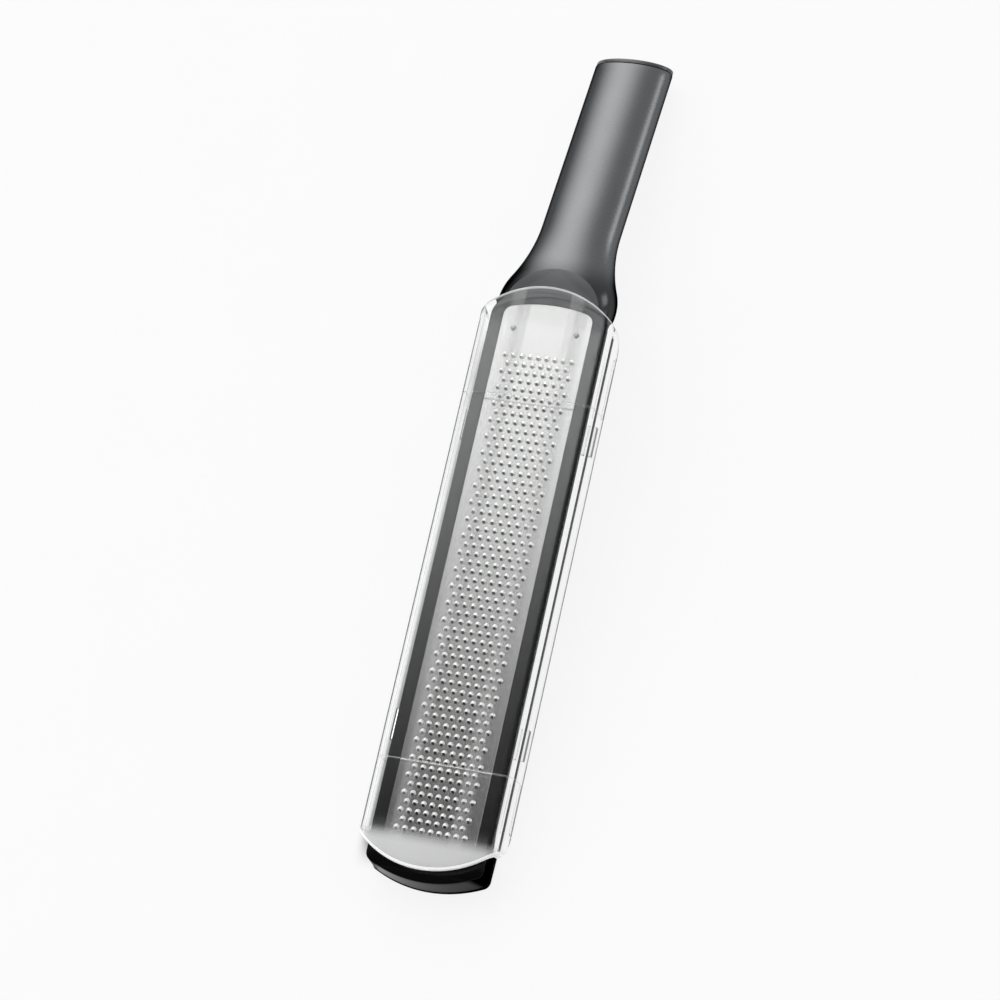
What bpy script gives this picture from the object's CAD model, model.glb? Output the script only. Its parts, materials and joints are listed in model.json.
"""Looks of a fine hand grater with a clip-on clear cover.

Shapes are worked out in the grater's own frame: millimetres, blade level, its top face at
height zero, the first row of teeth at y = 0 and the handle towards +y. laid() turns them into
the table's frame, in metres.
"""
import json
import math

import bmesh
import bpy
import numpy as np
from mathutils import Euler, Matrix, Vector


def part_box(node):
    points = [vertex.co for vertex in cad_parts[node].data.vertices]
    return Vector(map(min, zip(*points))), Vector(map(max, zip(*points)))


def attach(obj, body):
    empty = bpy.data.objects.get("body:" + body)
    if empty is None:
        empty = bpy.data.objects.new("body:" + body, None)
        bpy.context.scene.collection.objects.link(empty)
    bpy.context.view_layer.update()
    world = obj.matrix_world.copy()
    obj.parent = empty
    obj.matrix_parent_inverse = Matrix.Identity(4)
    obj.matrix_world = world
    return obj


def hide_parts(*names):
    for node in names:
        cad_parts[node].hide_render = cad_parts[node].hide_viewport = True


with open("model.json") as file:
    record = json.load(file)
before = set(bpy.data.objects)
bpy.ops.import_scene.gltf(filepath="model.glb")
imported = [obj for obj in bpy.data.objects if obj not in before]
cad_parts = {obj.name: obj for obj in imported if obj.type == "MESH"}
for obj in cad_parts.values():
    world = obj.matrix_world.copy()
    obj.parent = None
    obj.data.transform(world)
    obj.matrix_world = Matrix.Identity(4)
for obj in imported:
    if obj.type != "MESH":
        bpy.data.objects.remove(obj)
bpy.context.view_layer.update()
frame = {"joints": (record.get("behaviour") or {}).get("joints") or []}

# Sizes of the real object, in millimetres
TOOTH_PITCH = 3.4
ROW_PITCH = 3.415
TEETH_ACROSS = 9
TOOTH_ROWS = 57
SHEET = 0.6
BLADE_HALF = 18.3
BLADE_TOP = 22.4
BLADE_END = -201.34
BLADE_CROWN_R = 62.0
BLADE_CORNER = 4.0
BLADE_CHAMFER = 5.0
FRAME_HALF = 23.4
FRAME_TOP = 30.0
FRAME_TOP_R = 32.0
FRAME_CORNER = 9.0
RAIL_DEPTH = 7.0
NOSE_Y = -210.14
NOSE_DEPTH = 10.2
NOSE_SLOPE = 1.6
NOSE_R = 48.0
NOSE_CORNER = 3.4
FOOT_T = 2.4
WINDOW_HALF = 16.0
WINDOW_TOP = 4.5
WINDOW_END = -193.0
WINDOW_CORNER = 4.0
STRAIGHT_R = 4000.0
HANDLE_ROOT = (0.0, 25.0, -7.6)
HANDLE_LEAN = math.radians(15.0)
HANDLE_END = 144.775
HANDLE_FLATNESS = 0.49
CAP_T = 2.2
GRIP_R = 16.5
GRIP_WALL = 2.6
PLUG_DEPTH = 7.0
ROOT_R = 24.2
COVER_HALF = 27.8
COVER_CROWN = 5.4
COVER_WALL = 1.6
COVER_CROWN_R = 200.0
COVER_SHOULDER = 5.0
COVER_EDGE = 0.4
COVER_DEPTH = 11.5
COVER_TOP = 28.1
COVER_END = -206.44
COVER_PLAN_R = 39.0
MM = 0.001


def placing():
    """Turn and shift from the grater's frame to the table's: the lean is the lift's, and the
    shift sets the blade's lower end on its CAD box."""
    lift = frame["joints"][0]["axis"]
    lean = math.atan2(-lift[1], lift[2])
    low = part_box("blade")[0]
    shift_y = low.y / MM - BLADE_END * math.cos(lean)
    shift_z = low.z / MM - BLADE_END * math.sin(lean) + SHEET * math.cos(lean)
    return lean, shift_y, shift_z


REST_LEAN, SHIFT_Y, SHIFT_Z = placing()


def laid(points):
    """Points in the grater's frame, turned by the rest lean about x, shifted, in metres."""
    x, y, z = np.moveaxis(np.asarray(points, float), -1, 0)
    turned_y = y * math.cos(REST_LEAN) - z * math.sin(REST_LEAN) + SHIFT_Y
    turned_z = y * math.sin(REST_LEAN) + z * math.cos(REST_LEAN) + SHIFT_Z
    return np.stack([x, turned_y, turned_z], -1) * MM


def mesh_piece(name, points, faces, sharp_angle=35.0, finishes=None):
    """A finished mesh from points in the grater's frame: doubles merged, normals outward, and
    smooth shading that breaks where faces meet at more than sharp_angle degrees. finishes may
    give each face the number of its material."""
    mesh = bpy.data.meshes.new(name)
    mesh.from_pydata(laid(points).tolist(), [], [tuple(face) for face in faces])
    if finishes is not None:
        for _ in range(finishes.max() + 1):
            mesh.materials.append(None)
        mesh.polygons.foreach_set("material_index", finishes.astype(np.int32))
    shape = bmesh.new()
    shape.from_mesh(mesh)
    bmesh.ops.remove_doubles(shape, verts=shape.verts, dist=2e-6)
    bmesh.ops.dissolve_degenerate(shape, edges=shape.edges, dist=1e-6)
    bmesh.ops.recalc_face_normals(shape, faces=shape.faces)
    shape.to_mesh(mesh)
    shape.free()
    mesh.shade_smooth()
    mesh.set_sharp_from_angle(angle=math.radians(sharp_angle))
    piece = bpy.data.objects.new(name, mesh)
    bpy.context.scene.collection.objects.link(piece)
    return piece


def grid_faces(rows, columns, first=0, closed_rows=False, closed_columns=False):
    """Quads of a grid of rows by columns points that starts at index first, joined round where
    closed."""
    row = np.arange(rows if closed_rows else rows - 1)
    column = np.arange(columns if closed_columns else columns - 1)
    row, column = np.meshgrid(row, column, indexing="ij")
    next_row, next_column = (row + 1) % rows, (column + 1) % columns
    corners = [(row, column), (row, next_column), (next_row, next_column), (next_row, column)]
    return np.stack([(first + r * columns + c).ravel() for r, c in corners], -1).tolist()


def end_arc(half, apex, radius, corner, steps, corner_steps):
    """Right half of a rounded end, crown first: an arc of the radius with its crown at y = apex,
    then a round corner that touches both the arc and the straight side at x = half."""
    corner_x = half - corner
    centre_y = apex - radius
    corner_y = centre_y + math.sqrt((radius - corner) ** 2 - corner_x ** 2)
    turn = math.asin(corner_x / (radius - corner))
    a = np.linspace(0, turn, steps, endpoint=False)
    b = np.linspace(turn, math.pi / 2, corner_steps)
    arc = np.stack([radius * np.sin(a), centre_y + radius * np.cos(a)], -1)
    bend = np.stack([corner_x + corner * np.sin(b), corner_y + corner * np.cos(b)], -1)
    return np.concatenate([arc, bend])


ARC_STEPS, CORNER_STEPS = 14, 9
SIDE_SHARES = np.unique(np.concatenate([np.linspace(0, 0.9, 40), np.linspace(0.9, 1, 40)]))[1:-1]


def outline(top, end):
    """Closed outline, clockwise from the crown of the handle end: right half of the top, right
    side, end, left side, left half of the top. top and end are half, apex, radius, corner."""
    upper = end_arc(*top, ARC_STEPS, CORNER_STEPS)
    half, apex, radius, corner = end
    lower = end_arc(half, -apex, radius, corner, ARC_STEPS, CORNER_STEPS)[::-1] * [1, -1]
    side = upper[-1] + SIDE_SHARES[:, None] * (lower[0] - upper[-1])
    right = np.concatenate([upper, side, lower])
    left = right[1:-1][::-1] * [-1, 1]
    return np.concatenate([right, left])


def loft(name, loops, closed=True):
    """A tube of quads through equal loops of 3D points, joined last to first when closed, and
    otherwise capped at both ends by a fan about the loop's middle."""
    count = len(loops[0])
    points = np.concatenate(loops)
    faces = grid_faces(len(loops), count, closed_rows=closed, closed_columns=True)
    if not closed:
        middles = [loops[0].mean(0), loops[-1].mean(0)]
        points = np.concatenate([points, middles])
        for ring, hub in ((0, len(points) - 2), (len(loops) - 1, len(points) - 1)):
            around = ring * count + np.arange(count)
            faces += np.stack([around, np.roll(around, -1), np.full(count, hub)], -1).tolist()
    return mesh_piece(name, points, faces)


def raised(loop, height):
    """A flat outline set at a height, one number or one for each point."""
    return np.column_stack([loop, np.broadcast_to(height, len(loop))])


def frame_floor(y):
    """Height of the frame's underside along y: the rails' depth, and below the nose its own
    depth, joined by a round sweep of radius 9."""
    sweep = 9.0
    reach = WINDOW_END + sweep - np.asarray(y, float)
    inside = np.clip(reach, 0, sweep)
    arc = RAIL_DEPTH + sweep - np.sqrt(sweep ** 2 - inside ** 2)
    return -np.where(reach > 0, np.minimum(arc, NOSE_DEPTH), RAIL_DEPTH)


def frame_outline(inset, depth):
    """Outer outline of rails and nose at a depth: the nose's front leans out as it goes down."""
    lean = NOSE_SLOPE * depth / (NOSE_DEPTH + FOOT_T)
    half = FRAME_HALF - inset
    return outline((half, FRAME_TOP - inset, FRAME_TOP_R - inset, FRAME_CORNER - inset),
                   (half, NOSE_Y - lean + inset, NOSE_R + lean - inset, NOSE_CORNER - 0.5 * inset))


# Seat of the blade: gap beside it, gap at the chamfered mouth, where the chamfer starts, ledge
SEAT_PLAY = 0.1
SEAT_MOUTH = 0.3
SEAT_LIP = -0.25
LEDGE = -SHEET - 0.04


def window_outline(grow):
    """Window below the teeth: straight ends, drawn as wide arcs, with round corners."""
    half = WINDOW_HALF + grow
    return outline((half, WINDOW_TOP + grow, STRAIGHT_R, WINDOW_CORNER + grow),
                   (half, WINDOW_END - grow, STRAIGHT_R, WINDOW_CORNER + grow))


def seat_outline(grow):
    """Outline of the blade, grown: arched top, and lower corners cut off at 45 degrees."""
    loop = outline((BLADE_HALF + grow, BLADE_TOP + grow, BLADE_CROWN_R + grow, BLADE_CORNER + grow),
                   (BLADE_HALF + grow, BLADE_END - grow, STRAIGHT_R, 0.5))
    over = np.abs(loop[:, 0]) - loop[:, 1] - (BLADE_HALF - BLADE_END + 2 * grow - BLADE_CHAMFER)
    cut = np.maximum(over, 0) / 2
    return loop + np.column_stack([-np.sign(loop[:, 0]) * cut, cut])


def make_frame():
    """Rails and nose as one ring about the window: window wall, ledge, seat, top face, rounded
    outer edge, side wall and underside, each a loop of the same number of points."""
    edge = 0.45
    loops = []
    window = window_outline(0)
    loops.append(raised(window, frame_floor(window[:, 1]) + 0.3))
    loops.append(raised(window, -SHEET - 0.3))
    loops.append(raised(window_outline(0.2), LEDGE))
    loops.append(raised(seat_outline(SEAT_PLAY - 0.02), LEDGE))
    loops.append(raised(seat_outline(SEAT_PLAY), SEAT_LIP))
    loops.append(raised(seat_outline(SEAT_MOUTH), 0))
    for turn in np.linspace(0, math.pi / 2, 6):
        drop = edge * (1 - math.cos(turn))
        inset = edge * (1 - math.sin(turn))
        loops.append(raised(frame_outline(inset, drop), -drop))
    for share in (0.2, 0.5, 0.8):
        side = frame_outline(0, NOSE_DEPTH * share)
        loops.append(raised(side, frame_floor(side[:, 1]) * share))
    for inset, lift in ((0, 0.4), (0.4, 0)):
        low = frame_outline(inset, NOSE_DEPTH)
        loops.append(raised(low, frame_floor(low[:, 1]) + lift))
    mouth = window_outline(0.3)
    loops.append(raised(mouth, frame_floor(mouth[:, 1])))
    return loft("rails_and_nose", loops)


AROUND = np.linspace(0, 2 * math.pi, 144, endpoint=False)
NECK_R, ROOT_EDGE_R = 70.0, 25.0
NECK_LEN = math.sqrt((NECK_R + ROOT_EDGE_R) ** 2 - (NECK_R + ROOT_EDGE_R - ROOT_R + GRIP_R) ** 2)
NECK_TURN = math.asin(NECK_LEN / (NECK_R + ROOT_EDGE_R))


def handle_ring(radius, along):
    """Points of the flattened handle: an ellipse of the radius, thinner across, whose middle
    lies along the leaning axis. along may be one distance or one for each point."""
    across = HANDLE_FLATNESS * radius * np.sin(AROUND)
    x = radius * np.cos(AROUND)
    y = HANDLE_ROOT[1] + along * math.cos(HANDLE_LEAN) + across * math.sin(HANDLE_LEAN)
    z = HANDLE_ROOT[2] - along * math.sin(HANDLE_LEAN) + across * math.cos(HANDLE_LEAN)
    return np.column_stack([x, y, z])


def cut_ring(radius, y):
    """The same ellipse where an upright plane at y cuts the straight grip."""
    across = HANDLE_FLATNESS * radius * np.sin(AROUND)
    along = (y - HANDLE_ROOT[1] - across * math.sin(HANDLE_LEAN)) / math.cos(HANDLE_LEAN)
    return handle_ring(radius, along)


def flatten_front(piece, height):
    """Cuts away what stands above a height in the grater's frame and closes the cut."""
    shape = bmesh.new()
    shape.from_mesh(piece.data)
    up = Vector((0, -math.sin(REST_LEAN), math.cos(REST_LEAN)))
    everything = shape.verts[:] + shape.edges[:] + shape.faces[:]
    cut = bmesh.ops.bisect_plane(shape, geom=everything, dist=1e-7, clear_outer=True,
                                 plane_co=Vector(laid([0, 0, height])), plane_no=up)
    rim = [item for item in cut["geom_cut"] if isinstance(item, bmesh.types.BMEdge)]
    bmesh.ops.edgeloop_fill(shape, edges=rim)
    bmesh.ops.recalc_face_normals(shape, faces=shape.faces)
    shape.to_mesh(piece.data)
    shape.free()
    piece.data.shade_smooth()
    piece.data.set_sharp_from_angle(angle=math.radians(20))


def make_handle():
    """Full round root, hollow neck and straight grip as rings of one radius profile: an arc of
    radius ROOT_EDGE_R, a hollow arc of NECK_R, a straight line. The front is cut flat."""
    groove_y = HANDLE_END - CAP_T
    root = np.linspace(-math.radians(70), NECK_TURN, 34)
    neck = np.linspace(NECK_TURN, 0, 24)[1:]
    rings = [handle_ring(ROOT_R - ROOT_EDGE_R * (1 - math.cos(turn)), ROOT_EDGE_R * math.sin(turn))
             for turn in root]
    rings += [handle_ring(GRIP_R + NECK_R * (1 - math.cos(turn)), NECK_LEN - NECK_R * math.sin(turn))
              for turn in neck]
    straight, end = rings[-1], cut_ring(GRIP_R, groove_y - 0.25)
    rings += [straight + share * (end - straight) for share in np.linspace(0, 1, 26)[1:]]
    rings += [cut_ring(GRIP_R - 0.07, groove_y - 0.07), cut_ring(GRIP_R - 0.25, groove_y),
              cut_ring(GRIP_R - GRIP_WALL, groove_y),
              cut_ring(GRIP_R - GRIP_WALL, groove_y - PLUG_DEPTH - 0.1)]
    handle = loft("handle", rings, closed=False)
    flatten_front(handle, -0.02)
    return handle


def make_end_cap():
    """Cap as rings of the grip's section: plug, flange face, side, rounded rim, flat end."""
    groove_y = HANDLE_END - CAP_T
    radius = GRIP_R - 0.15
    plug_r = GRIP_R - GRIP_WALL - 0.1
    rings = [cut_ring(plug_r, groove_y - PLUG_DEPTH), cut_ring(plug_r, groove_y + 0.35),
             cut_ring(radius - 0.2, groove_y + 0.35), cut_ring(radius, groove_y + 0.55)]
    for turn in np.linspace(0, math.pi / 2, 7):
        rings.append(cut_ring(radius - 0.5 * (1 - math.cos(turn)),
                              HANDLE_END - 0.5 * (1 - math.sin(turn))))
    rings.append(cut_ring(radius - 3.0, HANDLE_END))
    return loft("grip_cap", rings, closed=False)


def table_height(y):
    """Height of the table in the grater's frame, below y."""
    return -(SHIFT_Z + y * math.sin(REST_LEAN)) / math.cos(REST_LEAN)


def make_foot():
    """Soft foot: the nose's outline carried down to the table, with a rounded lower edge."""
    def foot_outline(inset):
        half = FRAME_HALF - inset
        return outline((half, WINDOW_END - inset, STRAIGHT_R, 0.7),
                       (half, NOSE_Y - NOSE_SLOPE + inset, NOSE_R + NOSE_SLOPE - inset,
                        NOSE_CORNER - inset))

    loops = [raised(foot_outline(0.3), -NOSE_DEPTH), raised(foot_outline(0), -NOSE_DEPTH - 0.25)]
    for inset, lift in ((0, 0.6), (0.1, 0.3), (0.3, 0.1), (0.6, 0)):
        low = foot_outline(inset)
        loops.append(raised(low, table_height(low[:, 1]) + lift))
    return loft("nose_foot", loops, closed=False)


def joined(name, pieces, cutter):
    """One mesh out of several closed ones, less the cutter, which all are taken out again."""
    base = pieces[0]
    for part, operation in [(piece, "UNION") for piece in pieces[1:]] + [(cutter, "DIFFERENCE")]:
        boolean = base.modifiers.new("join", "BOOLEAN")
        boolean.object, boolean.operation, boolean.solver = part, operation, "EXACT"
    seen = base.evaluated_get(bpy.context.evaluated_depsgraph_get())
    mesh = bpy.data.meshes.new_from_object(seen)
    for piece in pieces + [cutter]:
        bpy.data.objects.remove(piece)
    mesh.name = name
    result = bpy.data.objects.new(name, mesh)
    bpy.context.scene.collection.objects.link(result)
    mesh.shade_smooth()
    mesh.set_sharp_from_angle(angle=math.radians(24))
    return result


def make_body():
    """Handle, rails and nose in one, with the blade's seat cut into the flat front."""
    narrow, wide = seat_outline(SEAT_PLAY), seat_outline(SEAT_MOUTH)
    seat = loft("seat", [raised(narrow, LEDGE), raised(narrow, SEAT_LIP), raised(wide, 0),
                         raised(wide, 2)], closed=False)
    return joined("handle_and_frame", [make_frame(), make_handle()], seat)


# One tooth: points round it, sphere of the hood and its depth, rim, hole, number of each finish
TOOTH_POINTS = 16
HOOD_R = 1.25
HOOD_SINK = 0.33
RIM_R = 0.72
RIM_LEAN = math.radians(40)
HOLE_R = 0.8
HOLE_SHIFT = 0.25
SHEET_FINISH, HOOD_FINISH, HOLE_FINISH = 0, 1, 2


def make_tooth():
    """One tooth in its cell, as rings of TOOTH_POINTS points from the cell's edge on the top
    face over the hood to the rim, down inside it and out to the cell's edge below. The hood is
    part of a sphere of radius HOOD_R whose centre lies HOOD_SINK deep. Its rim is a circle of
    radius RIM_R on it, about a line that leans by RIM_LEAN from upright to the nose."""
    step = np.arange(TOOTH_POINTS)
    turn = step * 2 * math.pi / TOOTH_POINTS
    round_x, round_y = np.sin(turn), np.cos(turn)

    def box_wave(shift):
        away = np.abs((step + shift) % TOOTH_POINTS - TOOTH_POINTS / 2)
        return np.clip(2 - 8 * away / TOOTH_POINTS, -1, 1)

    def ring(half_x, half_y, middle, height):
        return np.column_stack([half_x * round_x, middle + half_y * round_y,
                                np.broadcast_to(height, TOOTH_POINTS)])

    cell = np.column_stack([box_wave(TOOTH_POINTS // 4) * TOOTH_PITCH / 2,
                            box_wave(TOOTH_POINTS // 2) * ROW_PITCH / 2])
    centre = np.array([0, 0, -HOOD_SINK])
    foot_r = math.sqrt(HOOD_R ** 2 - HOOD_SINK ** 2)
    out, cos, sin = math.sqrt(HOOD_R ** 2 - RIM_R ** 2), math.cos(RIM_LEAN), math.sin(RIM_LEAN)
    foot = ring(foot_r, foot_r, 0, 0)
    height = np.maximum(out * cos + RIM_R * sin * round_y - HOOD_SINK, 0)
    rim = ring(RIM_R, RIM_R * cos, -out * sin, height)
    rim[:, 1] = np.maximum(rim[:, 1], 0.02 - foot_r)
    middle = (foot + rim) / 2 - centre
    shoulder = centre + HOOD_R * middle / np.linalg.norm(middle, axis=1)[:, None]
    inside = ring(HOLE_R + 0.04, HOLE_R + 0.02, -HOLE_SHIFT - 0.05, -0.12)
    hole = ring(HOLE_R, HOLE_R, -HOLE_SHIFT, -SHEET)
    return np.stack([raised(cell, 0), foot, shoulder, rim, inside, hole, raised(cell, -SHEET)])


def spread(line, shares):
    """Points along a bent line at the given shares of its length."""
    run = np.concatenate([[0], np.cumsum(np.hypot(*np.diff(line, axis=0).T))])
    return np.stack([np.interp(shares * run[-1], run, line[:, axis]) for axis in (0, 1)], -1)


def make_blade():
    """Blade: staggered rows of tooth cells with plain half cells at the short rows' ends, and
    round them a flat border whose points run out to the blade's outline."""
    rows = np.arange(TOOTH_ROWS)
    full = np.array([(x, -row * ROW_PITCH) for row in rows
                     for x in (np.arange(TEETH_ACROSS - row % 2) - (TEETH_ACROSS - 1 - row % 2) / 2)
                     * TOOTH_PITCH])
    tooth = make_tooth()
    places = np.column_stack([full, np.zeros(len(full))])
    points = [(places[:, None, None, :] + tooth).reshape(-1, 3)]
    one = np.array(grid_faces(len(tooth), TOOTH_POINTS, closed_columns=True))
    faces = (np.arange(len(full))[:, None, None] * tooth[..., 0].size + one).reshape(-1, 4).tolist()
    first = len(points[0])
    band = np.repeat([SHEET_FINISH, HOOD_FINISH, HOOD_FINISH, HOLE_FINISH, HOLE_FINISH, SHEET_FINISH],
                     TOOTH_POINTS)
    finishes = np.tile(band, len(full))

    field_half = TEETH_ACROSS * TOOTH_PITCH / 2
    for row in rows[1::2]:
        for side in (-1, 1):
            x, y = np.meshgrid(side * (field_half - TOOTH_PITCH / 4 * np.arange(3)),
                               ROW_PITCH * (0.25 * np.arange(-2, 3) - row), indexing="ij")
            for height in (0, -SHEET):
                points.append(np.stack([x, y, 0 * x + height], -1).reshape(-1, 3))
                faces += grid_faces(3, 5, first)
                first += 15

    top_y, end_y = ROW_PITCH / 2, -(TOOTH_ROWS - 0.5) * ROW_PITCH
    across = np.linspace(-1, 1, 4 * TEETH_ACROSS + 1)[:-1]
    down = np.linspace(0, 1, 4 * TOOTH_ROWS + 1)[:-1]
    field = np.concatenate([
        np.column_stack([across * field_half, np.full(len(across), top_y)]),
        np.column_stack([np.full(len(down), field_half), top_y + down * (end_y - top_y)]),
        np.column_stack([-across * field_half, np.full(len(across), end_y)]),
        np.column_stack([np.full(len(down), -field_half), end_y - down * (end_y - top_y)])])

    def edge(inset):
        right = end_arc(BLADE_HALF - inset, BLADE_TOP - inset, BLADE_CROWN_R - inset,
                        BLADE_CORNER - inset, 20, 8)
        crown = np.concatenate([(right * [-1, 1])[::-1], right[1:]])
        half, low = BLADE_HALF - inset, BLADE_END + inset
        cut = BLADE_CHAMFER
        tail = np.array([(half, low + cut), (half - cut, low), (cut - half, low), (-half, low + cut)])
        crown_share, side_share = (across + 1) / 2, down
        return np.concatenate([
            spread(crown, crown_share),
            spread(np.array([crown[-1], tail[0]]), side_share),
            spread(tail, crown_share),
            spread(np.array([tail[-1], crown[0]]), side_share)])

    loops = [raised(field, 0), raised(edge(0.1), 0), raised(edge(0), -0.1),
             raised(edge(0), 0.1 - SHEET), raised(edge(0.1), -SHEET), raised(field, -SHEET)]
    points += loops
    faces += grid_faces(len(loops), len(field), first, closed_columns=True)
    plain = np.full(len(faces) - len(finishes), SHEET_FINISH)
    return mesh_piece("toothed_blade", np.concatenate(points), faces,
                      finishes=np.concatenate([finishes, plain]))


# Cover, besides the sizes above: flared ends, round corners of the walls, places of the raised
# lines, clips with their hooks' profile down the wall, beads along the walls' lower edges, size
# of the raised lines, rounding of the lower edges
COVER_FLARE = 17.0
FLARE_SOFT = 2.0
COVER_FLARE_RISE = math.tan(math.radians(3.0))
COVER_CORNER = 9.5
RIDGES = (COVER_TOP - 46, COVER_END + 40.5)
CLIPS = (COVER_TOP - 57, COVER_END + 55)
CLIP_HALF = 6.0
HOOK_TOP = 1.8 - RAIL_DEPTH
HOOK_REACH = 2.5
HOOK_DROPS = np.array([0, 0.4, 1.2, 1.9, 2.6])
HOOK_SHAPE = np.array([0, 1, 1, 0.5, 0])
BEAD = 0.8
BEAD_SPANS = ((7.0, RIDGES[0]), (RIDGES[1], -185.0))
RIDGE_HIGH, RIDGE_HALF = 0.15, 0.3
EDGE_ROUND = 0.3


def cover_section(inset):
    """Half of the channel's section, crown first, as x and z: crown arc, shoulder, wall."""
    half = COVER_HALF - inset
    bend = end_arc(half, COVER_CROWN - inset, COVER_CROWN_R - inset, COVER_SHOULDER - inset, 22, 9)
    low = EDGE_ROUND - COVER_DEPTH
    wall = np.concatenate([np.linspace(-1, -5, 4), HOOK_TOP - HOOK_DROPS,
                           -COVER_DEPTH + np.array([3, 2.2, 1.5, BEAD + 0.05, BEAD, 0.5])])
    return np.concatenate([bend, [(half, z) for z in wall], [(half, low)]])


def cover_loop(inset):
    """Closed section of the channel's wall, its lower edges rounded: outer face from left to
    right, then the inner face back, drawn in by inset all round."""
    outer, inner = cover_section(inset), cover_section(COVER_WALL - inset)
    outer[-1, 1] += inset
    inner[-1, 1] += inset
    edge = np.array([(outer[-1, 0] - EDGE_ROUND, inset - COVER_DEPTH),
                     (inner[-1, 0] + EDGE_ROUND, inset - COVER_DEPTH)])
    right = np.concatenate([outer, edge, inner[::-1]])
    mirror = np.concatenate([inner[1:], edge[::-1], outer[1:][::-1]]) * [-1, 1]
    return np.concatenate([right, mirror])


def ridge(y):
    """Height of the fine raised lines across the crown: a low round hump at each."""
    return sum(RIDGE_HIGH * np.sqrt(np.clip(1 - ((y - middle) / RIDGE_HALF) ** 2, 0, 1))
               for middle in RIDGES)


def make_cover():
    """Clear channel: its section carried along y, between ends that follow an arc in plan and a
    round corner on the walls. The ends rise a little, ridges stand on the crown, and hooks and
    beads stand on the inner faces of the walls."""
    half_count = len(cover_section(0))
    inner = np.zeros(len(cover_loop(0)), bool)
    inner[half_count + 1:3 * half_count + 2] = True

    def end_inset(section):
        x, z = section.T
        plan = COVER_PLAN_R - np.sqrt(COVER_PLAN_R ** 2 - x ** 2)
        depth = np.clip(COVER_CORNER - COVER_DEPTH - z, 0, COVER_CORNER)
        return plan + COVER_CORNER - np.sqrt(COVER_CORNER ** 2 - depth ** 2)

    def station(y, inset):
        section = cover_loop(inset)
        x, z = section.T
        flare = np.clip(np.maximum(y - COVER_TOP, COVER_END - y) + COVER_FLARE, 0, None)
        soft = flare ** 2 / (flare + FLARE_SOFT)
        rise = (z + COVER_DEPTH) / (COVER_CROWN + COVER_DEPTH)
        low = np.interp(-z, HOOK_DROPS - HOOK_TOP, HOOK_SHAPE)
        on_clip = sum(np.abs(y - middle) < CLIP_HALF for middle in CLIPS)
        beaded = sum((y < high) & (y > low_end) for high, low_end in BEAD_SPANS)
        bead = BEAD * beaded * (z < BEAD - COVER_DEPTH + 0.01)
        draw_in = np.where(inner, HOOK_REACH * low * on_clip + bead, 0)
        lift = np.where(inner | (z < 0), 0, ridge(y))
        return np.column_stack([x - np.sign(x) * draw_in, y, z + soft * COVER_FLARE_RISE * rise + lift])

    def rim(inset, back):
        section = cover_loop(inset)
        return (COVER_TOP - end_inset(section) - back, COVER_END + end_inset(section) + back)

    lines = [middle + RIDGE_HALF * step for middle in RIDGES
             for step in (-1.3, -1, -0.7, -0.3, 0, 0.3, 0.7, 1, 1.3)]
    lines += [middle + side * (CLIP_HALF + nudge) for middle in CLIPS for side in (-1, 1)
              for nudge in (-0.04, 0.04)]
    steady = np.sort(np.concatenate([np.linspace(0, -178, 46), lines]))[::-1]
    loops = []
    for turn in np.linspace(math.pi / 2, 0, 5):
        inset = COVER_EDGE * (1 - math.cos(turn))
        loops.append(station(rim(inset, COVER_EDGE * (1 - math.sin(turn)))[0], inset))
    top, end = rim(0, COVER_EDGE)
    for share in np.linspace(0, 1, 12)[1:-1]:
        loops.append(station(top * (1 - share), 0))
    loops += [station(np.full(len(top), y), 0) for y in steady]
    for share in np.linspace(0, 1, 12)[1:-1]:
        loops.append(station(steady[-1] + (end - steady[-1]) * share, 0))
    for turn in np.linspace(0, math.pi / 2, 5):
        inset = COVER_EDGE * (1 - math.cos(turn))
        loops.append(station(rim(inset, COVER_EDGE * (1 - math.sin(turn)))[1], inset))

    count = len(top)
    faces = grid_faces(len(loops), count, closed_columns=True)
    outside = np.arange(-half_count, half_count)
    across = 2 * half_count + 1 - outside
    strips = np.stack([outside, outside + 1, across - 1, across], -1) % count
    faces += strips.tolist() + (strips + (len(loops) - 1) * count).tolist()
    return mesh_piece("clear_cover", np.concatenate(loops), faces, 40)


class Value:
    """A number on a node's socket: arithmetic on it adds Math nodes."""

    def __init__(self, nodes, socket):
        self.nodes, self.socket = nodes, socket

    def math(self, operation, *others):
        return self.nodes.node("ShaderNodeMath", {"operation": operation},
                               dict(enumerate((self,) + others)))

    def __add__(self, other):
        return self.math("ADD", other)

    def __mul__(self, other):
        return self.math("MULTIPLY", other)

    def __sub__(self, other):
        return self.math("SUBTRACT", other)

    def __rsub__(self, other):
        return self * -1 + other

    def __abs__(self):
        return self.math("ABSOLUTE")

    __radd__, __rmul__ = __add__, __mul__

    def step(self, low, high):
        """0 below low, 1 above high, and a smooth rise between."""
        return self.nodes.node("ShaderNodeMapRange", {"interpolation_type": "SMOOTHSTEP"},
                               {0: self, 1: low, 2: high})


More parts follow.
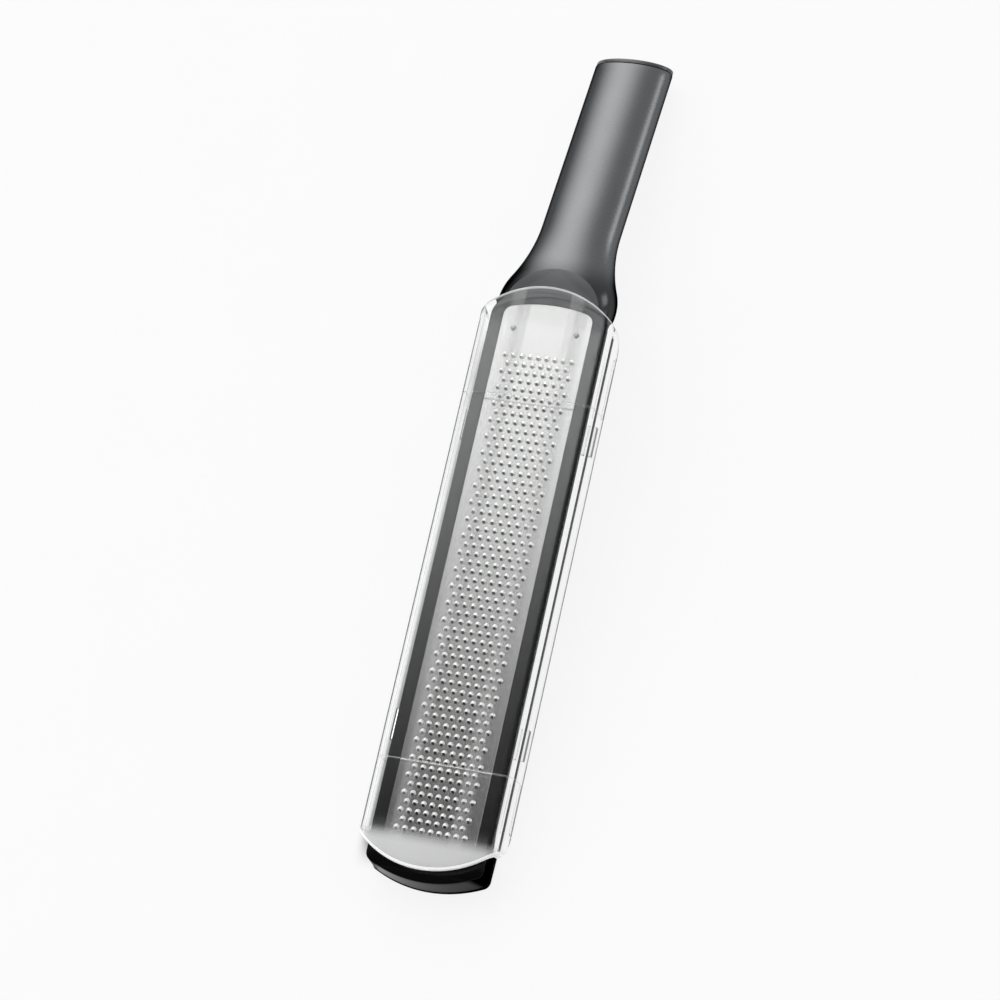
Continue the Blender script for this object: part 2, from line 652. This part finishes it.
class Nodes:
    """The emptied node tree of a material or world, and its output."""

    def __init__(self, owner, output):
        owner.use_nodes = True
        self.owner, self.tree = owner, owner.node_tree
        self.tree.nodes.clear()
        self.out = self.tree.nodes.new(output)

    def node(self, kind, settings=None, inputs=None, output=0):
        """Adds a node: its settings first, then the values or links of its sockets."""
        made = self.tree.nodes.new(kind)
        for name, setting in (settings or {}).items():
            setattr(made, name, setting)
        for name, value in (inputs or {}).items():
            if isinstance(value, Value):
                self.tree.links.new(value.socket, made.inputs[name])
            else:
                made.inputs[name].default_value = value
        return Value(self, made.outputs[output])

    def place(self, kind="Object"):
        """Coordinates as three values."""
        where = self.node("ShaderNodeTexCoord", output=kind)
        return [self.node("ShaderNodeSeparateXYZ", {}, {0: where}, axis) for axis in "XYZ"]

    def finished(self, shader):
        self.tree.links.new(shader.socket, self.out.inputs["Surface"])
        return self.owner


class Finish(Nodes):
    """A procedural material, built node by node on Object coordinates."""

    def __init__(self, name):
        super().__init__(bpy.data.materials.new(name), "ShaderNodeOutputMaterial")

    def grater_place(self):
        """Coordinates in the grater's own frame, in millimetres."""
        x, y, z = (each * (1 / MM) for each in self.place())
        y, z = y - SHIFT_Y, z - SHIFT_Z
        cos, sin = math.cos(REST_LEAN), math.sin(REST_LEAN)
        return x, y * cos + z * sin, z * cos - y * sin

    def noise(self, scale, stretch=(1, 1, 1), detail=2.0):
        """Noise from 0 to 1 with about scale spots per metre, stretched along the axes."""
        where = self.node("ShaderNodeTexCoord", output="Object")
        turned = self.node("ShaderNodeMapping", {}, {"Vector": where, "Scale": stretch,
                                                     "Rotation": (-REST_LEAN, 0, 0)})
        return self.node("ShaderNodeTexNoise", {}, {"Vector": turned, "Scale": scale, "Detail": detail})

    def colour(self, base, other, share):
        return self.node("ShaderNodeMix", {"data_type": "RGBA"},
                         {0: share, 6: (*base, 1), 7: (*other, 1)}, 2)

    def bump(self, height, distance, strength):
        return self.node("ShaderNodeBump", {}, {"Height": height, "Distance": distance,
                                                "Strength": strength})

    def principled(self, **sockets):
        named = {name.replace("_", " "): value for name, value in sockets.items()}
        return self.node("ShaderNodeBsdfPrincipled", {}, named)

    def blend(self, first, second, share):
        return self.node("ShaderNodeMixShader", {}, {0: share, 1: first, 2: second})


# Where the moulding turns black at the nose, and how far its grain takes to reach the handle's
NOSE_BLACK_Y = -206.0
ARCH_FADE = 16.0


def satin_plastic():
    """Anthracite moulding: fine grain in colour, roughness and, on the handle, bump. It mirrors
    as a metal does, and its colour is painted darker along the rails than on the handle, as the
    photograph's light makes it look. The nose's front is black."""
    finish = Finish("satin_anthracite")
    grain = finish.noise(3200, detail=3)
    cloud = finish.noise(60)
    _, y, _ = finish.grater_place()
    satin = y.step(NOSE_BLACK_Y - 1.5, NOSE_BLACK_Y)
    on_handle = y.step(FRAME_TOP, FRAME_TOP + ARCH_FADE)
    base = finish.colour((0.006, 0.006, 0.006), (0.17, 0.174, 0.179),
                         satin * (0.13 + 0.22 * y.step(-110, 5) + 0.65 * on_handle)
                         * (0.55 + 0.35 * grain + 0.1 * cloud))
    return finish.finished(finish.principled(
        Base_Color=base, Metallic=satin, Roughness=0.1 + satin * (0.06 + 0.03 * grain + 0.1 * on_handle),
        Specular_IOR_Level=0.05, Specular_Tint=(0.1, 0.1, 0.1, 1),
        Normal=finish.bump(grain * satin * on_handle, 0.00003, 0.3)))


def gloss_plastic():
    """Dark gloss plastic of the grip's cap, with faint uneven polish."""
    finish = Finish("gloss_dark")
    cloud = finish.noise(220)
    base = finish.colour((0.05, 0.052, 0.055), (0.08, 0.083, 0.087), cloud)
    return finish.finished(finish.principled(Base_Color=base, Roughness=0.16 + 0.1 * cloud))


def soft_rubber():
    """Black rubber of the foot: without shine, lightly pitted."""
    finish = Finish("foot_rubber")
    pits = finish.noise(2400, detail=4)
    base = finish.colour((0.004, 0.004, 0.004), (0.01, 0.01, 0.01), pits)
    return finish.finished(finish.principled(
        Base_Color=base, Roughness=0.4 + 0.2 * pits, Specular_IOR_Level=0.0,
        Normal=finish.bump(pits, 0.00005, 0.4)))


def brushed_steel():
    """Blade sheet: fine lines along the blade in colour, roughness and bump."""
    finish = Finish("brushed_blade")
    lines = finish.noise(900, stretch=(6, 0.12, 6), detail=4)
    cloud = finish.noise(45)
    base = finish.colour((0.40, 0.40, 0.395), (0.49, 0.49, 0.485), 0.6 * lines + 0.4 * cloud)
    return finish.finished(finish.principled(
        Base_Color=base, Metallic=1.0, Roughness=0.1 + 0.07 * lines,
        Normal=finish.bump(lines, 0.00002, 0.3)))


def burnished_steel():
    """Hoods of the teeth: steel stretched bright, rougher than the sheet."""
    finish = Finish("tooth_hood")
    spots = finish.noise(2600, detail=3)
    base = finish.colour((0.80, 0.80, 0.79), (0.92, 0.92, 0.91), spots)
    return finish.finished(finish.principled(Base_Color=base, Metallic=1.0,
                                             Roughness=0.34 + 0.12 * spots))


def etched_steel():
    """Walls inside the teeth's holes: dark etched steel."""
    finish = Finish("tooth_hole")
    spots = finish.noise(3000)
    base = finish.colour((0.02, 0.02, 0.02), (0.05, 0.05, 0.05), spots)
    return finish.finished(finish.principled(Base_Color=base, Metallic=0.6,
                                             Roughness=0.5 + 0.2 * spots))


def rivet_steel():
    """Heads of the fixings: darker steel with faint spots."""
    finish = Finish("rivet_steel")
    spots = finish.noise(1500)
    base = finish.colour((0.22, 0.22, 0.22), (0.34, 0.34, 0.34), spots)
    return finish.finished(finish.principled(Base_Color=base, Metallic=1.0,
                                             Roughness=0.2 + 0.15 * spots))


# Half widths of the cover's clear middle and of its frosting, and the haze's upper end and fade
STRIP_HALF = 9.3
FROST_HALF = 15.2
HAZE_TOP = -191.5
HAZE_FADE = 6.5


def clear_plastic():
    """Clear cover: polished along the middle of its crown and on its walls, lightly frosted
    between, hazy over the nose, and white along its rims and its raised lines. The rims give off
    a little light of their own. Rays that cast shadows or come off dull surfaces pass it
    straight."""
    finish = Finish("clear_plastic")
    x, y, _ = finish.grater_place()
    off_middle = abs(x)
    frosted = off_middle.step(STRIP_HALF - 0.4, STRIP_HALF + 0.4) \
        * (1 - off_middle.step(FROST_HALF - 2.0, FROST_HALF + 0.5))
    over_nose = 1 - y.step(HAZE_TOP - HAZE_FADE, HAZE_TOP)
    plan = COVER_PLAN_R - (COVER_PLAN_R ** 2 - x * x).math("POWER", 0.5)
    rim_top = (y + plan).step(COVER_TOP - 0.8, COVER_TOP - 0.5)
    rim_end = 1 - (y - plan).step(COVER_END + 1.0, COVER_END + 1.3)
    on_ridge = sum(1 - abs(y - middle).step(0.1, 0.35) for middle in RIDGES)
    grain = finish.noise(1800, detail=3)
    glass = finish.principled(Base_Color=(0.985, 0.99, 0.99, 1), Roughness=0.02 + 0.1 * frosted,
                              IOR=1.49, Transmission_Weight=1.0)
    haze = finish.principled(Base_Color=finish.colour((0.88, 0.89, 0.89), (0.95, 0.95, 0.95), grain),
                             Roughness=0.5)
    veil = 0.002 + 0.1 * frosted * (1 - over_nose) + 0.15 * on_ridge + 0.62 * over_nose
    edge = finish.principled(Base_Color=(0.9, 0.9, 0.9, 1), Roughness=0.4,
                             Emission_Color=(1, 1, 1, 1), Emission_Strength=0.35)
    body = finish.blend(finish.blend(glass, haze, veil), edge, 0.35 * rim_top + 0.9 * rim_end)
    rays = finish.node("ShaderNodeLightPath", output="Is Shadow Ray")
    diffuse_rays = finish.node("ShaderNodeLightPath", output="Is Diffuse Ray")
    straight = finish.node("ShaderNodeBsdfTransparent", {}, {0: (0.9, 0.9, 0.9, 1)})
    return finish.finished(finish.blend(body, straight, rays.math("MAXIMUM", diffuse_rays)))


def dress(piece, material, slot, body, *nodes):
    """Gives a piece its finish, its slot in the record, its body and the nodes it replaces."""
    materials = material if isinstance(material, list) else [material]
    if len(piece.data.materials) != len(materials):
        piece.data.materials.clear()
        for _ in materials:
            piece.data.materials.append(None)
    for index, each in enumerate(materials):
        piece.data.materials[index] = each
    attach(piece, body)
    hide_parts(*nodes)


# Dark place painted on the floor, in the grater's millimetres: half widths between which it
# fades, slant by the photograph camera's sideways lean, and the fades at its two ends
SHADE_INNER, SHADE_OUTER = 22.5, 29.0
SHADE_SLANT = 0.32
SHADE_TOP = (4.0, 40.0)
SHADE_END = (-206.0, -190.0)


def make_floor():
    """Wide pale floor: white where the camera, gloss and clear plastic see it, with part of its
    light left to the lamps, so that the grater's shadow stays. A dark place is painted on it, so
    that the teeth's holes are dark. It shifts aside by SHADE_SLANT of the grater's height, which
    fits the photograph's camera alone: from other sides it shows beside the grater."""
    finish = Finish("pale_floor")
    grain = finish.noise(30)
    glow = finish.node("ShaderNodeEmission", {}, {0: (1, 1, 1, 1), 1: 1.0})
    seen = finish.node("ShaderNodeLightPath", output="Is Camera Ray")
    for ray in ("Is Glossy Ray", "Is Transmission Ray"):
        seen = seen.math("MAXIMUM", finish.node("ShaderNodeLightPath", output=ray))
    x, y, _ = (each * (1 / MM) for each in finish.place())
    y = y - SHIFT_Y
    high = SHIFT_Z + y * math.tan(REST_LEAN)
    under = (1 - abs(x + SHADE_SLANT * high).step(SHADE_INNER, SHADE_OUTER)) \
        * y.step(*SHADE_END) * (1 - y.step(*SHADE_TOP))
    open_floor = (1 - under) * (0.9 + 0.1 * grain)
    lit = finish.principled(Base_Color=finish.colour((0.03, 0.03, 0.03), (0.96, 0.96, 0.96), open_floor),
                            Roughness=0.9)
    size = 3.0
    mesh = bpy.data.meshes.new("floor")
    mesh.from_pydata([(-size, -size, 0), (size, -size, 0), (size, size, 0), (-size, size, 0)], [],
                     [(0, 1, 2, 3)])
    floor = bpy.data.objects.new("floor", mesh)
    bpy.context.scene.collection.objects.link(floor)
    mesh.materials.append(finish.finished(finish.blend(lit, glow, seen * 0.88 * (1 - under))))


def add_lamp(name, place, target, size, radiance):
    """Softbox at a place, turned to a target, of a width and height and of a brightness where 1
    is white."""
    lamp = bpy.data.lights.new(name, "AREA")
    lamp.shape, (lamp.size, lamp.size_y) = "RECTANGLE", size
    lamp.energy = radiance * math.pi * size[0] * size[1]
    holder = bpy.data.objects.new(name, lamp)
    holder.location = place
    aim = Vector(target) - Vector(place)
    holder.rotation_euler = aim.to_track_quat("-Z", "Y").to_euler()
    holder.visible_camera = False
    bpy.context.scene.collection.objects.link(holder)


def make_lights():
    """Dim world with softboxes on both sides. Two bright panels in it are placed for what the
    photograph's camera sees mirrored: the lower fades in slowly where the blade and the cover
    mirror it, and the upper one fades out to the right where the handle does."""
    world = bpy.data.worlds.new("studio")
    bpy.context.scene.world = world
    nodes = Nodes(world, "ShaderNodeOutputWorld")
    x, y, _ = nodes.place("Generated")
    low = x.step(-0.85, -0.5) * (1 - x.step(-0.05, 0.25)) * (1 - y.step(0.3, 0.5))
    high = x.step(-0.88, -0.4) * (1 - 0.82 * x.step(-0.36, 0.16)) * y.step(0.3, 0.5)
    panel = 2.45 * y.step(0.05, 0.26) * low + 3.9 * high
    glow = nodes.node("ShaderNodeBackground", {}, {1: 0.1 + 0.14 * y.step(-0.4, 0.9) + panel})
    nodes.finished(glow)
    add_lamp("softbox_left", (-0.9, -0.1, 0.5), (0, 0, 0), (0.7, 0.7), 2)
    add_lamp("softbox_right", (0.9, 0.2, 0.45), (0, 0, 0), (0.6, 0.6), 1.2)
    add_lamp("strip_right", (0.7, 0.75, 0.34), (0, 0.1, 0), (0.25, 0.25), 3)


def make_camera():
    """Camera at the photograph's viewing angle: long lens, high over the nose's right."""
    lens = bpy.data.cameras.new("camera")
    lens.lens, lens.sensor_width = 115.1, 36
    camera = bpy.data.objects.new("camera", lens)
    camera.location = (0.3630, -0.46338, 1.12267)
    camera.rotation_euler = Euler([math.radians(a) for a in (24.4789, 12.7776, 14.1339)], "XYZ")
    bpy.context.scene.collection.objects.link(camera)
    bpy.context.scene.camera = camera


def main():
    """Every piece with its finish, then floor, lights and camera."""
    dress(make_body(), satin_plastic(), "frame_plastic", "grater", "handle_frame")
    dress(make_end_cap(), gloss_plastic(), "cap_plastic", "grater", "end_cap")
    dress(make_foot(), soft_rubber(), "foot_rubber", "grater", "foot")
    steels = [brushed_steel(), burnished_steel(), etched_steel()]
    dress(make_blade(), steels, "blade_steel", "grater", "blade")
    dress(make_cover(), clear_plastic(), "cover_clear", "cover", "cover")
    rivets = bpy.data.objects["rivets"]
    rivets.material_slots[0].material = rivet_steel()
    make_floor()
    make_lights()
    make_camera()
    bpy.context.scene.view_settings.view_transform = "Standard"


main()
